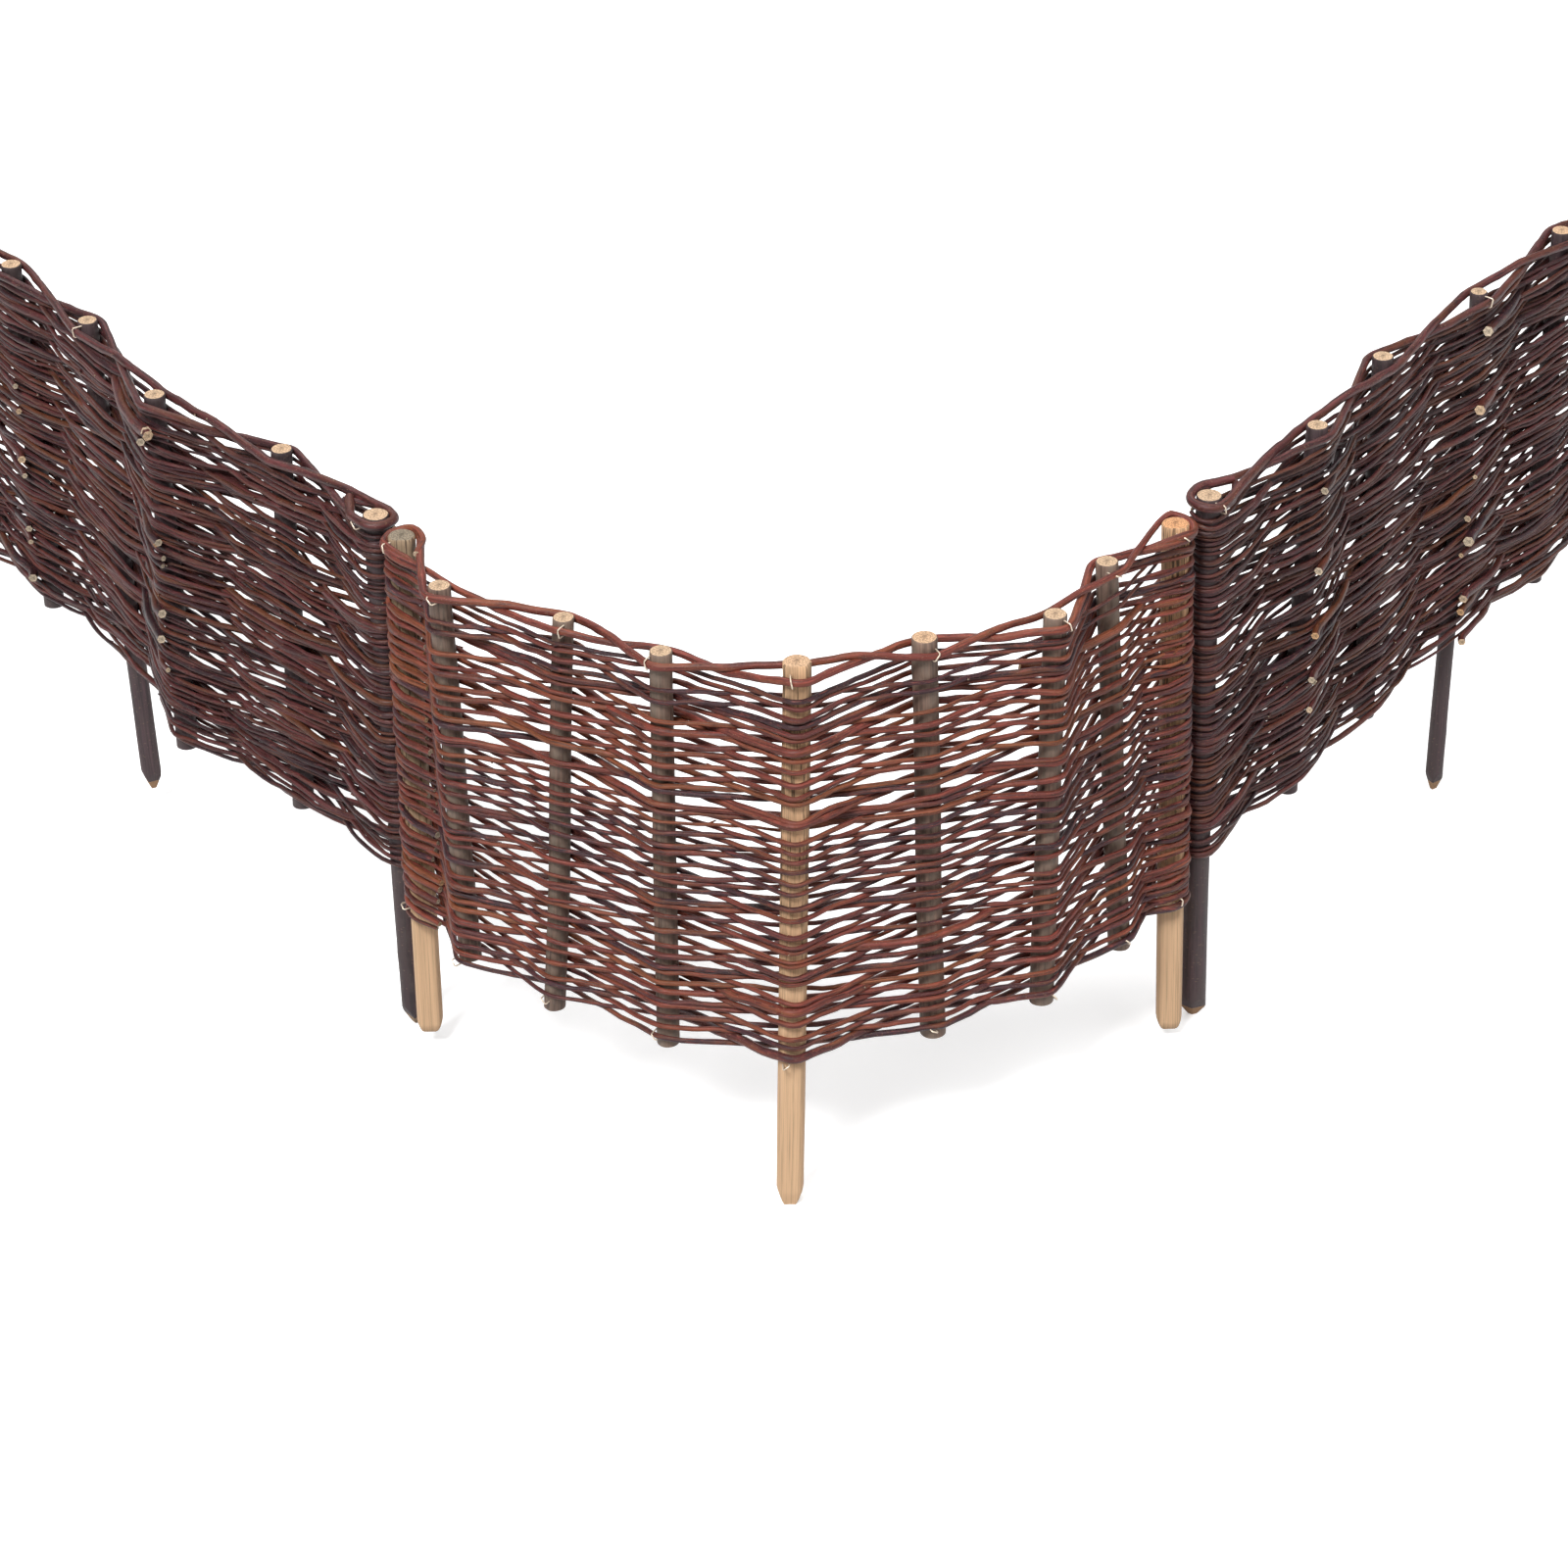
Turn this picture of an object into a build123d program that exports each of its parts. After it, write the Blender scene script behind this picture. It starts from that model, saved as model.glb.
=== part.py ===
from build123d import *
import os
from math import acos, atan2, cos, degrees, hypot, radians, sin

# Willow bed edging: three woven panels stood end to end in an open curve.
# Millimetres, +Z up. The rounded outside of the curve looks along -Y, and +X is to
# the right of someone who looks at it. The tips of the driven stakes are at Z = 0.

# Plan of each panel: the length of every bay between two stakes, and the compass
# angle in degrees that the bay runs at, measured from +X towards +Y.
MIDDLE_BAYS = [(102, -66), (120, -31), (115, -33), (125, -22),
               (128, 24), (122, 21), (110, 57), (96, 44)]
RIGHT_BAYS = [(172, 50), (160, 59), (172, 51), (168, 52), (165, 52), (165, 52)]
LEFT_BAYS = [(165, 127), (174, 138), (178, 115), (160, 126), (165, 126), (165, 126)]

# Every panel has a driven stake at each end and in its middle, and short ones between.
DRIVEN_STAKE_D = 26
SHORT_STAKE_D = 22
MIDDLE_STAKE_TOP = 575      # height of the stake tops above the tips
RIGHT_STAKE_TOP = 585
LEFT_STAKE_TOP = 575
SHORT_STAKE_STICKS_OUT = 10  # bare end of a short stake under the weave

# Split stakes of the middle panel: one cleft face, a blunt end sawn from both sides.
CLEFT_DEPTH = 3             # how far the flat cleft face cuts into the round
BLUNT_END_LENGTH = 24
BLUNT_END_WIDTH = 10
# Round stakes of the side panels: a point cut like a pencil's.
POINT_LENGTH = 38
POINT_TIP_D = 5
SOIL_GAP = 6                # a driven stake goes in until the weave is this far off the soil

# Weave: courses of several rods that run in front of one stake and behind the next.
COURSES = 9
MIDDLE_WEAVE_BOTTOM, MIDDLE_WEAVE_HEIGHT = 162, 380
RIGHT_WEAVE_BOTTOM, RIGHT_WEAVE_HEIGHT = 186, 368
LEFT_WEAVE_BOTTOM, LEFT_WEAVE_HEIGHT = 184, 362
ROD_D = 8                   # depth of a course, one rod
OPEN_SHARE = 0.62           # course height at a stake, as a share of the pitch
CROSSING_SHARE = 1.05       # where two courses cross, they press into each other
EDGE_SHARE = 1.03           # round the end stakes the courses lie tight
TOP_ROD_D = ROD_D + 2       # the two rods that close the weave are thicker
SEAT = 0.2                  # clearance between a rod and what it lies on
SHARP_BEND = 70             # a rod that turns more than this at a stake takes two corners
WRAP_STEPS = 4              # corners of a rod's turn round an end stake
RIGHT_GAP, LEFT_GAP = 0.05, 1.1   # added where two panels stand edge to edge


def step(point, length, angle):
    return (point[0] + length * cos(radians(angle)), point[1] + length * sin(radians(angle)))


def angle_to(a, b):
    return degrees(atan2(b[1] - a[1], b[0] - a[0]))


def turn(a, b):
    """The signed angle from direction a to direction b, between -180 and 180 degrees."""
    return (b - a + 180) % 360 - 180


def walk(start, bays):
    points = [start]
    for length, angle in bays:
        points.append(step(points[-1], length, angle))
    return points


def is_driven(index, count):
    return index in (0, count // 2, count - 1)


class Panel:
    """One woven panel: where its stakes stand, and how high its weave sits."""

    def __init__(self, name, start, bays, stake_top, weave_bottom, weave_height):
        self.name = name
        self.stakes = walk(start, bays)
        self.stake_top = stake_top
        self.weave_bottom = weave_bottom
        self.pitch = weave_height / COURSES
        self.weave_top = weave_bottom + weave_height

    def stake_radius(self, index):
        return (DRIVEN_STAKE_D if is_driven(index, len(self.stakes)) else SHORT_STAKE_D) / 2

    def mid_bay(self, bay):
        (ax, ay), (bx, by) = self.stakes[bay], self.stakes[bay + 1]
        return ((ax + bx) / 2, (ay + by) / 2)

    def course_height(self, number):
        return self.weave_bottom + (number + 0.5) * self.pitch


def contact_angle(centre, radius, outside_point, side):
    """The angle, seen from a stake, where a rod from outside_point first touches it."""
    away = hypot(outside_point[0] - centre[0], outside_point[1] - centre[1])
    return angle_to(centre, outside_point) + side * degrees(acos(radius / away))


def bend(centre, radius, before, after, side):
    """The corners of a rod that comes from one mid-bay, passes a stake and goes on."""
    first = contact_angle(centre, radius, before, -side)
    last = contact_angle(centre, radius, after, side)
    swing = turn(first, last)
    corners = 2 if abs(swing) > SHARP_BEND else 1
    share = swing / corners
    reach = radius / cos(radians(share / 2))
    return [step(centre, reach, first + share * (i + 0.5)) for i in range(corners)]


def wrap(centre, radius, neighbour, side):
    """The corners of a rod's turn round an end stake, from its tail to where it leaves."""
    leave = contact_angle(centre, radius, neighbour, side)
    swing = turn(leave, contact_angle(centre, radius, neighbour, -side))
    swing -= 360 if swing > 0 else -360      # the long way, round the outside
    share = swing / WRAP_STEPS
    reach = radius / cos(radians(share / 2))
    return [step(centre, reach, leave + share * (i + 0.5)) for i in reversed(range(WRAP_STEPS))]


def rod_route(panel, front, rod_d):
    """Corner points of a rod along a panel, with "edge", "stake" or "crossing" for each.

    front is 1 or -1: the side of the first stake that the rod passes.
    """
    stakes, last = panel.stakes, len(panel.stakes) - 1
    lie = [panel.stake_radius(i) + SEAT + rod_d / 2 for i in range(last + 1)]
    kinds = ["stake"] + ["edge"] * (WRAP_STEPS - 2) + ["stake"]
    route = list(zip(wrap(stakes[0], lie[0], panel.mid_bay(0), front), kinds))
    side = front
    for i in range(1, last):
        side = -side
        route.append((panel.mid_bay(i - 1), "crossing"))
        for corner in bend(stakes[i], lie[i], panel.mid_bay(i - 1), panel.mid_bay(i), side):
            route.append((corner, "stake"))
    route.append((panel.mid_bay(last - 1), "crossing"))
    tail = list(zip(wrap(stakes[last], lie[last], panel.mid_bay(last - 1), side), kinds))
    return route + tail[::-1]


def mitres(points):
    """At each corner, the direction across the rod, long enough to keep its depth even."""
    angles = [angle_to(a, b) for a, b in zip(points, points[1:])]
    across = []
    for before, after in zip(angles[:1] + angles, angles + angles[-1:]):
        half = turn(before, after) / 2
        reach = 1 / cos(radians(half))
        across.append(step((0, 0), reach, before + half + 90))
    return across


def ruled_rod(points, outlines):
    """A rod through the plan points; each outline lists (across, up) round its section."""
    rings = []
    for (x, y), (mx, my), outline in zip(points, mitres(points), outlines):
        corners = [Vector(x + mx * a, y + my * a, z) for a, z in outline]
        rings.append([Edge.make_line(a, b) for a, b in zip(corners, corners[1:] + corners[:1])])
    skin = [Face(Wire(rings[0])), Face(Wire(rings[-1]))]
    for ring, following in zip(rings, rings[1:]):
        skin += [Face.make_surface_from_curves(a, b) for a, b in zip(ring, following)]
    return Solid(Shell(skin))


def course_outline(height, z):
    """Six-sided section of a course: a ridge on both sides, flat above and below."""
    d, h = ROD_D / 2, height / 2
    return [(d, z), (d / 2, z + h), (-d / 2, z + h), (-d, z), (-d / 2, z - h), (d / 2, z - h)]


def course(panel, number):
    shares = {"stake": OPEN_SHARE, "crossing": CROSSING_SHARE, "edge": EDGE_SHARE}
    route = rod_route(panel, 1 if number % 2 else -1, ROD_D)
    z = panel.course_height(number)
    outlines = [course_outline(shares[kind] * panel.pitch, z) for _, kind in route]
    return ruled_rod([point for point, _ in route], outlines)


def weave(panel):
    """The wall: all courses, grown together where they cross and round the end stakes."""
    courses = [course(panel, number) for number in range(COURSES)]
    return courses[0].fuse(*courses[1:]).clean()


def top_rod(panel, layer):
    """One of the two thick rods that close the weave; they cross at every mid-bay."""
    r = TOP_ROD_D / 2
    crest = panel.weave_top + (CROSSING_SHARE - 1) / 2 * panel.pitch
    z = crest + SEAT + r + layer * (TOP_ROD_D + SEAT)
    ring = [(r * cos(radians(a)), z + r * sin(radians(a))) for a in range(30, 390, 60)]
    route = rod_route(panel, 1 if (COURSES + layer) % 2 else -1, TOP_ROD_D)
    return ruled_rod([point for point, _ in route], [ring] * len(route))


def round_stake(radius, bottom, top):
    align = (Align.CENTER, Align.CENTER, Align.MIN)
    return Pos(0, 0, bottom) * Cylinder(radius, top - bottom, align=align)


def pointed_stake(radius, soil, top):
    """A driven stake with its foot cut to a point; its wall is parted at the soil line."""
    profile = Polyline((0, 0), (POINT_TIP_D / 2, 0), (radius, POINT_LENGTH),
                       (radius, soil), (radius, top), (0, top), close=True)
    return revolve(Plane.XZ * make_face(profile), Axis.Z)


def split_stake(radius, top):
    """A driven stake with a cleft face on its -Y side and a blunt foot, sawn from both sides."""
    body = round_stake(radius, 0, top)
    body -= Pos(0, -radius, top / 2) * Box(4 * radius, 2 * CLEFT_DEPTH, 2 * top)
    foot = BLUNT_END_WIDTH / 2
    reach = 2 * radius
    rise = BLUNT_END_LENGTH * (reach - foot) / (radius - foot)
    for side in (1, -1):
        waste = Polyline((side * foot, 0), (side * reach, 0), (side * reach, rise), close=True)
        body -= extrude(Plane.XZ * make_face(waste), amount=reach, both=True)
    return body


def stake(panel, index):
    radius, count = panel.stake_radius(index), len(panel.stakes)
    if not is_driven(index, count):
        bottom = panel.weave_bottom - SHORT_STAKE_STICKS_OUT
        body = round_stake(radius, bottom, panel.stake_top)
    elif panel.name == "middle":
        body = split_stake(radius, panel.stake_top)
    else:
        body = pointed_stake(radius, panel.weave_bottom - SOIL_GAP, panel.stake_top)
    x, y = panel.stakes[index]
    return Pos(x, y, 0) * body


def stake_name(panel, index):
    last = len(panel.stakes) - 1
    if index == last // 2:
        return f"{panel.name}_centre_stake"
    if index in (0, last):
        left_end = (index == 0) == (panel.name != "left")
        return f"{panel.name}_{'left' if left_end else 'right'}_end_stake"
    number = index if index < last // 2 else index - 1
    return f"{panel.name}_short_stake_{number}"


def panels():
    """The middle panel first; its neighbours' turned rods stand against its own."""
    middle = Panel("middle", (0, 0), MIDDLE_BAYS, MIDDLE_STAKE_TOP,
                   MIDDLE_WEAVE_BOTTOM, MIDDLE_WEAVE_HEIGHT)
    apart = DRIVEN_STAKE_D + 2 * (SEAT + TOP_ROD_D)
    right_start = step(middle.stakes[-1], apart + RIGHT_GAP,
                       (MIDDLE_BAYS[-1][1] + RIGHT_BAYS[0][1]) / 2)
    left_start = step(middle.stakes[0], apart + LEFT_GAP,
                      (MIDDLE_BAYS[0][1] + 180 + LEFT_BAYS[0][1]) / 2)
    right = Panel("right", right_start, RIGHT_BAYS, RIGHT_STAKE_TOP,
                  RIGHT_WEAVE_BOTTOM, RIGHT_WEAVE_HEIGHT)
    left = Panel("left", left_start, LEFT_BAYS, LEFT_STAKE_TOP,
                 LEFT_WEAVE_BOTTOM, LEFT_WEAVE_HEIGHT)
    return middle, right, left


def pieces():
    found = {}
    for panel in panels():
        for index in range(len(panel.stakes)):
            found[stake_name(panel, index)] = stake(panel, index)
        found[f"{panel.name}_weave"] = weave(panel)
        for layer, name in enumerate(("lower", "upper")):
            found[f"{panel.name}_{name}_top_rod"] = top_rod(panel, layer)
    return found


def main():
    """Write every piece, with the origin in the middle of the set's footprint."""
    found = pieces()
    boxes = [shape.bounding_box() for shape in found.values()]
    middle_x = (min(box.min.X for box in boxes) + max(box.max.X for box in boxes)) / 2
    middle_y = (min(box.min.Y for box in boxes) + max(box.max.Y for box in boxes)) / 2
    centre = Pos(-middle_x, -middle_y, -min(box.min.Z for box in boxes))
    os.makedirs("parts", exist_ok=True)
    for name, shape in found.items():
        export_step(centre * shape, f"parts/{name}.step")


main()
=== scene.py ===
"""Woven willow bed edging: three wattle panels on driven stakes, in an open curve.

Every size is in metres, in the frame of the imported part: +Z up, +X to the right, and the
rounded outside of the curve towards -Y.
"""
import math
import random

import bpy
import numpy as np
from bpy.props import FloatProperty, FloatVectorProperty, IntProperty, PointerProperty, StringProperty
from mathutils import Matrix, Vector, noise


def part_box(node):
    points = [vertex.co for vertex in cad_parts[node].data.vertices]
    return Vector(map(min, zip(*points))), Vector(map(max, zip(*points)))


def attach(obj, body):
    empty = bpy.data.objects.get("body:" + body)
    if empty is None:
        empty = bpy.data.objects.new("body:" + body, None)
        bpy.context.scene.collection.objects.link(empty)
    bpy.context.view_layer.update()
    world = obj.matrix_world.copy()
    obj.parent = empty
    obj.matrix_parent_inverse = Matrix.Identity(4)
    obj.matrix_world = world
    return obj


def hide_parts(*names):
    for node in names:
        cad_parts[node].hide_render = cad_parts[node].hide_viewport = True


bl_info = {
    "name": "Willow Bed Edging",
    "version": (1, 0, 0),
    "blender": (4, 5, 0),
    "location": "View3D > Sidebar > Edging",
    "description": "Weaves willow edging panels round the stakes of the packed part",
    "category": "Object",
}

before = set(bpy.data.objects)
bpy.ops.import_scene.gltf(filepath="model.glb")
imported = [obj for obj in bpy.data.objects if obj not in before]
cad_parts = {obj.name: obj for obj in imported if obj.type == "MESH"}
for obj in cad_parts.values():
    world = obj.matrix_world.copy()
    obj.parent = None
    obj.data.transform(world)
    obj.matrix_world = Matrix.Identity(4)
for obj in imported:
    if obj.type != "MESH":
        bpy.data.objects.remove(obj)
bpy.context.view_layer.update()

MM = 0.001
TINY = 1e-9                     # keeps a division by a length away from zero

# The camera, solved from the photograph's stake tops and feet: the lens in the photograph's
# pixels, the turns in degrees and the place.
PHOTO_PIXELS = 1600
PHOTO_LENS = 5088
SENSOR = 36.0
YAW, PITCH, ROLL = -0.407, 32.412, -1.070
CAMERA_PLACE = (-0.049, -4.302, 2.840)

# Driven and short stakes of each panel, in the order that a rod passes them. The side
# panels are counted outwards from where they meet the middle panel.
STAKES = {
    "middle": ["left_end", "short_1", "short_2", "short_3", "centre",
               "short_4", "short_5", "short_6", "right_end"],
    "right": ["left_end", "short_1", "short_2", "centre", "short_3", "short_4", "right_end"],
    "left": ["right_end", "short_1", "short_2", "centre", "short_3", "short_4", "left_end"],
}
# Side of the walk along the stakes that is the outside of the curve: 1 is left of it.
OUTSIDE = {"middle": -1, "right": -1, "left": 1}
# How far a stake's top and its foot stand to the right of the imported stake, in millimetres.
LEANS = {
    "middle_left_end_stake": (1, -2), "middle_short_stake_1": (-2, 7), "middle_short_stake_2": (9, -15),
    "middle_short_stake_3": (0, -5), "middle_centre_stake": (4, -11), "middle_short_stake_4": (1, 8),
    "middle_short_stake_5": (6, -2), "middle_short_stake_6": (-1, 18), "middle_right_end_stake": (-2, 6),
    "left_right_end_stake": (-1, 5), "left_centre_stake": (-6, 15), "left_short_stake_1": (2, -4),
    "left_short_stake_3": (-3, 4), "right_centre_stake": (3, -11), "right_short_stake_1": (4, -10),
    "right_short_stake_3": (2, -3),
}
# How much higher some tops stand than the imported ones, in millimetres.
RISES = {"middle_centre_stake": 14, "middle_short_stake_4": 5}
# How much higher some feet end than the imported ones, in millimetres.
FEET = {"middle_left_end_stake": 20, "middle_short_stake_1": 16, "middle_right_end_stake": 10,
        "left_centre_stake": 22, "middle_short_stake_5": 3}
# How thick some stakes are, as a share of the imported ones.
GIRTHS = {"middle_short_stake_4": 1.12, "middle_short_stake_5": 1.05, "middle_short_stake_2": 0.95,
          "right_centre_stake": 0.7, "left_centre_stake": 0.8}
HEWN_POINT = 24 * MM            # length of the point of a driven side stake
# Tones of the split stakes: foot, top and sawn end; 0 is weathered grey and 1 is orange.
SPLIT_TONES = {"left_end": (0.5, 0.15, 0.0), "centre": (0.5, 0.62, 0.62), "right_end": (0.5, 0.7, 0.95)}

# The top rods lie this far below the tops of the end stakes, or of a stake that stands higher.
CREST_DROP = 7 * MM
HIGH_STAKE_DROP = 12 * MM
# Middle lines of the lowest and the highest rods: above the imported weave's foot, below the crest.
LOWEST_ROD = 3.0 * MM
HIGHEST_ROD = 8 * MM
# Stakes where new rods start: share of rods, and 1 if their butts stand on the outside.
BUTTS = {
    "middle": {2: (0.1, -1), 3: (0.14, -1), 4: (0.16, -1), 5: (0.12, -1), 6: (0.1, -1)},
    "right": {1: (0.22, 1), 3: (0.22, 1)},
    "left": {2: (0.3, 1), 4: (0.26, 1)},
}
# Staples at the foot of a weave: height above it. On the side panels only the top rods have
# staples, and this share of the stakes goes without.
LOW_STAPLE = 4 * MM
SIDE_STAPLES_FROM = 0.3
UNSTAPLED = 0.4

SEEDS = {"middle": 11, "right": 23, "left": 37}
STAKE_SEED = 5
STAPLE_SEED = 9


def stake_node(panel, key):
    """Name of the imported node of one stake."""
    if key.startswith("short"):
        return f"{panel}_short_stake_{key[-1]}"
    return f"{panel}_{key}_stake"


# Sizes and colours

class EdgingSizes(bpy.types.PropertyGroup):
    """Sizes of the rods, stakes and staples."""

    rows_middle: IntProperty(
        name="Rows, middle", description="Rods above each other in the middle panel", default=70)
    rows_side: IntProperty(
        name="Rows, sides", description="Pairs of rods above each other in a side panel", default=69)
    butt_radius: FloatProperty(
        name="Butt radius", description="Radius of a middle rod at its thick end",
        default=3.05 * MM, unit="LENGTH")
    tip_radius: FloatProperty(
        name="Tip radius", description="Radius of a middle rod at its thin end",
        default=1.75 * MM, unit="LENGTH")
    side_butt_radius: FloatProperty(
        name="Side butt radius", description="Radius of a side rod at its thick end",
        default=2.55 * MM, unit="LENGTH")
    side_tip_radius: FloatProperty(
        name="Side tip radius", description="Radius of a side rod at its thin end",
        default=1.55 * MM, unit="LENGTH")
    top_rod_radius: FloatProperty(
        name="Top rod radius", description="Radius of the two rods that close the middle weave",
        default=3.8 * MM, unit="LENGTH")
    side_top_rod_radius: FloatProperty(
        name="Side top rod radius", description="Radius of the two rods that close a side weave",
        default=4.2 * MM, unit="LENGTH")
    wander: FloatProperty(
        name="Wander", description="How far a rod strays up or down from its row",
        default=1.9 * MM, unit="LENGTH")
    staple_radius: FloatProperty(
        name="Staple wire", description="Radius of the staple wire",
        default=0.75 * MM, unit="LENGTH")


class EdgingColours(bpy.types.PropertyGroup):
    """Colours of bark, wood and wire."""

    middle_bark: FloatVectorProperty(
        name="Middle rods", description="Red-brown bark of the middle panel",
        subtype="COLOR", size=4, default=(0.138, 0.030, 0.021, 1))
    side_bark: FloatVectorProperty(
        name="Side rods", description="Dark bark of the side panels",
        subtype="COLOR", size=4, default=(0.073, 0.019, 0.019, 1))
    plum_bark: FloatVectorProperty(
        name="Plum bark", description="Purple-brown of the darker rods",
        subtype="COLOR", size=4, default=(0.054, 0.018, 0.024, 1))
    amber_bark: FloatVectorProperty(
        name="Amber bark", description="Orange-brown of the lighter rods",
        subtype="COLOR", size=4, default=(0.200, 0.062, 0.024, 1))
    stake_bark: FloatVectorProperty(
        name="Stake bark", description="Olive-grey bark of the middle panel's short stakes",
        subtype="COLOR", size=4, default=(0.150, 0.098, 0.074, 1))
    dark_bark: FloatVectorProperty(
        name="Dark stake bark", description="Bark of the side panels' stakes",
        subtype="COLOR", size=4, default=(0.046, 0.027, 0.030, 1))
    cut_wood: FloatVectorProperty(
        name="Cut wood", description="Sawn and hewn ends of the stakes",
        subtype="COLOR", size=4, default=(0.690, 0.480, 0.310, 1))
    # Painted light: the cream of the rod ends is set paler than cut willow is, since the small end discs face
    # sideways and downwards and render shaded.
    rod_ends_painted_light: FloatVectorProperty(
        name="Rod ends", description="Cut ends of the willow rods",
        subtype="COLOR", size=4, default=(0.950, 0.770, 0.560, 1))
    split_wood: FloatVectorProperty(
        name="Split wood", description="Cleft faces of the middle panel's driven stakes",
        subtype="COLOR", size=4, default=(0.750, 0.490, 0.290, 1))
    wire: FloatVectorProperty(
        name="Wire", description="Staple wire",
        subtype="COLOR", size=4, default=(0.900, 0.760, 0.600, 1))


# Plan geometry

def step(point, length, angle):
    """The plan point at a length and an angle in radians from another."""
    return (point[0] + length * math.cos(angle), point[1] + length * math.sin(angle))


def angle_to(here, there):
    """Angle in radians of the direction from one plan point to another."""
    return math.atan2(there[1] - here[1], there[0] - here[0])


def mix(a, b, share):
    """The value at a share of the way from a to b."""
    return a + (b - a) * share


def lean_at(node, z):
    """How far a stake stands to the right at one height."""
    low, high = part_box(node)
    top, foot = LEANS.get(node, (0, 0))
    return mix(foot, top, min(max((z - low.z) / (high.z - low.z), 0), 1)) * MM


def top_of(node):
    """Height of a stake's top."""
    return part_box(node)[1].z + RISES.get(node, 0) * MM


class Panel:
    """Where a panel's stakes stand and between which heights its rods lie."""

    def __init__(self, name):
        self.name = name
        self.outside = OUTSIDE[name]
        self.nodes = [stake_node(name, key) for key in STAKES[name]]
        self.centres, self.radii = [], []
        for node in self.nodes:
            low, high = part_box(node)
            radius = (high.x - low.x) / 2
            self.centres.append(((low.x + high.x) / 2, high.y - radius))
            self.radii.append(radius * GIRTHS.get(node, 1.0))
        self.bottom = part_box(f"{name}_weave")[0].z
        self.crest = top_of(self.nodes[0]) - CREST_DROP
        self.last = len(self.nodes) - 1

    def crest_at(self, index):
        """Height of the top rods at one stake."""
        return max(self.crest, top_of(self.nodes[index]) - HIGH_STAKE_DROP)

    def centre(self, index, z):
        """Plan place of a stake at one height, with its lean."""
        x, y = self.centres[index]
        return (x + lean_at(self.nodes[index], z), y)

    def normal(self, index):
        """Angle of the direction to the left of the walk at one stake."""
        before = self.centres[max(index - 1, 0)]
        after = self.centres[min(index + 1, self.last)]
        return angle_to(before, after) + math.pi / 2

    def ahead(self, index):
        """Angle of the walk at one stake."""
        return self.normal(index) - math.pi / 2

    def facing(self, index, side):
        """Angle of the direction away from a stake on its left (1) or right (-1)."""
        return self.normal(index) + (0 if side > 0 else math.pi)

    def beside(self, index, side, reach, z):
        """The plan point beside a stake at one height, on its left (1) or right (-1)."""
        return step(self.centre(index, z), self.radii[index] + reach, self.facing(index, side))


def smooth_line(points, spacing, soft=4.2 * MM, bend=0.26):
    """Straight runs with soft bends through 3-D points; the rings lie closer together in a bend."""
    fine = 1.5 * MM
    points = np.array(points, float)
    gaps = np.linalg.norm(np.diff(points, axis=0), axis=1)
    run = np.concatenate([[0], np.cumsum(gaps)])
    marks = np.linspace(0, run[-1], max(int(run[-1] / fine), 8) + 1)
    line = np.column_stack([np.interp(marks, run, points[:, axis]) for axis in range(3)])
    reach = min(int(3 * soft / fine), len(line) - 2)
    weights = np.exp(-0.5 * (np.arange(-reach, reach + 1) * fine / soft) ** 2)
    weights /= weights.sum()
    before = 2 * line[0] - line[reach:0:-1]
    after = 2 * line[-1] - line[-2:-reach - 2:-1]
    padded = np.vstack([before, line, after])
    line = np.column_stack([np.convolve(padded[:, axis], weights, "valid") for axis in range(3)])
    steps = np.diff(line, axis=0)
    gaps = np.linalg.norm(steps, axis=1)
    ahead = steps / np.maximum(gaps, TINY)[:, None]
    turns = np.arccos(np.clip((ahead[1:] * ahead[:-1]).sum(axis=1), -1, 1))
    effort = gaps / spacing
    effort[1:] += turns / bend
    cost = np.concatenate([[0], np.cumsum(effort)])
    marks = np.linspace(0, cost[-1], max(int(cost[-1]), 3) + 1)
    rings = np.column_stack([np.interp(marks, cost, line[:, axis]) for axis in range(3)])
    return rings, np.concatenate([[0], np.cumsum(np.linalg.norm(np.diff(rings, axis=0), axis=1))])


# Mesh growth

BARK, CUT = 0, 1                # material slots of every piece


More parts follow.
